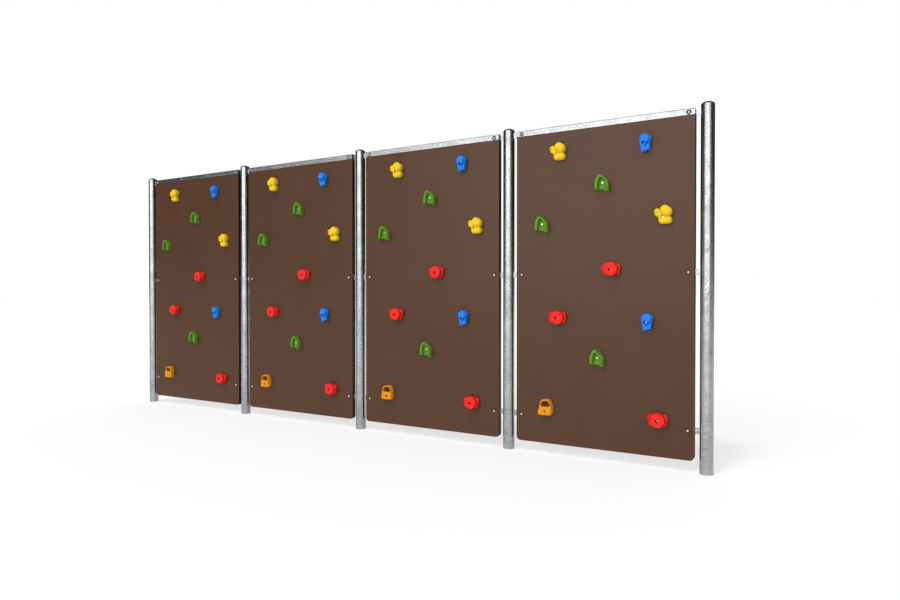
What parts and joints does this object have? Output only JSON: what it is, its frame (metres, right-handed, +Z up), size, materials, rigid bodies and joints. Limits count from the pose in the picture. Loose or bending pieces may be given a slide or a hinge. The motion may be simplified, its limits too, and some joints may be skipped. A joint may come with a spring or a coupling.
{
  "type": "rock climbing wall",
  "caption": "Playground climbing wall: brown panels bolted between round galvanised posts, with bright coloured resin hand and foot holds on one side.",
  "frame": {"origin": "on the ground at the axis of the middle post, which is the middle of the wall's length", "axes": "+X along the wall, +Y to the back of the wall, so the climbing side faces -Y, +Z up"},
  "size_m": [5.076, 0.102, 2.137],
  "materials": {
    "galvanised_steel": "hot-dip galvanised, mottled spangle, satin",
    "panel_brown": "dark brown phenolic film on plywood, sealed dark edges",
    "hold_yellow": "cast resin, fine sand texture",
    "hold_blue": "cast resin, fine sand texture",
    "hold_green": "cast resin, fine sand texture",
    "hold_red": "cast resin, fine sand texture",
    "hold_orange": "cast resin, fine sand texture",
    "stainless_steel": "bright stainless steel",
    "zinc_steel": "zinc plated",
    "black_nylon": "moulded black nylon"
  },
  "bodies": {
    "root": {"post_1": "galvanised_steel", "post_cap_1": "galvanised_steel", "post_lugs_1": "galvanised_steel", "post_2": "galvanised_steel", "post_cap_2": "galvanised_steel", "post_lugs_2": "galvanised_steel", "post_3": "galvanised_steel", "post_cap_3": "galvanised_steel", "post_lugs_3": "galvanised_steel", "post_4": "galvanised_steel", "post_cap_4": "galvanised_steel", "post_lugs_4": "galvanised_steel", "post_5": "galvanised_steel", "post_cap_5": "galvanised_steel", "post_lugs_5": "galvanised_steel", "panel_1": "panel_brown", "top_rail_1": "galvanised_steel", "yellow_holds_1": "hold_yellow", "blue_holds_1": "hold_blue", "green_holds_1": "hold_green", "red_holds_1": "hold_red", "orange_holds_1": "hold_orange", "panel_2": "panel_brown", "top_rail_2": "galvanised_steel", "yellow_holds_2": "hold_yellow", "blue_holds_2": "hold_blue", "green_holds_2": "hold_green", "red_holds_2": "hold_red", "orange_holds_2": "hold_orange", "panel_3": "panel_brown", "top_rail_3": "galvanised_steel", "yellow_holds_3": "hold_yellow", "blue_holds_3": "hold_blue", "green_holds_3": "hold_green", "red_holds_3": "hold_red", "orange_holds_3": "hold_orange", "panel_4": "panel_brown", "top_rail_4": "galvanised_steel", "yellow_holds_4": "hold_yellow", "blue_holds_4": "hold_blue", "green_holds_4": "hold_green", "red_holds_4": "hold_red", "orange_holds_4": "hold_orange", "edge_bolts": "stainless_steel", "edge_back_washers": "stainless_steel", "edge_nuts": "stainless_steel", "hold_bolts": "stainless_steel", "hold_washers": "stainless_steel", "hold_screws": "stainless_steel", "rail_screws": "stainless_steel", "edge_front_washers": "black_nylon", "hold_tee_nuts": "zinc_steel"}
  },
  "joints": []
}
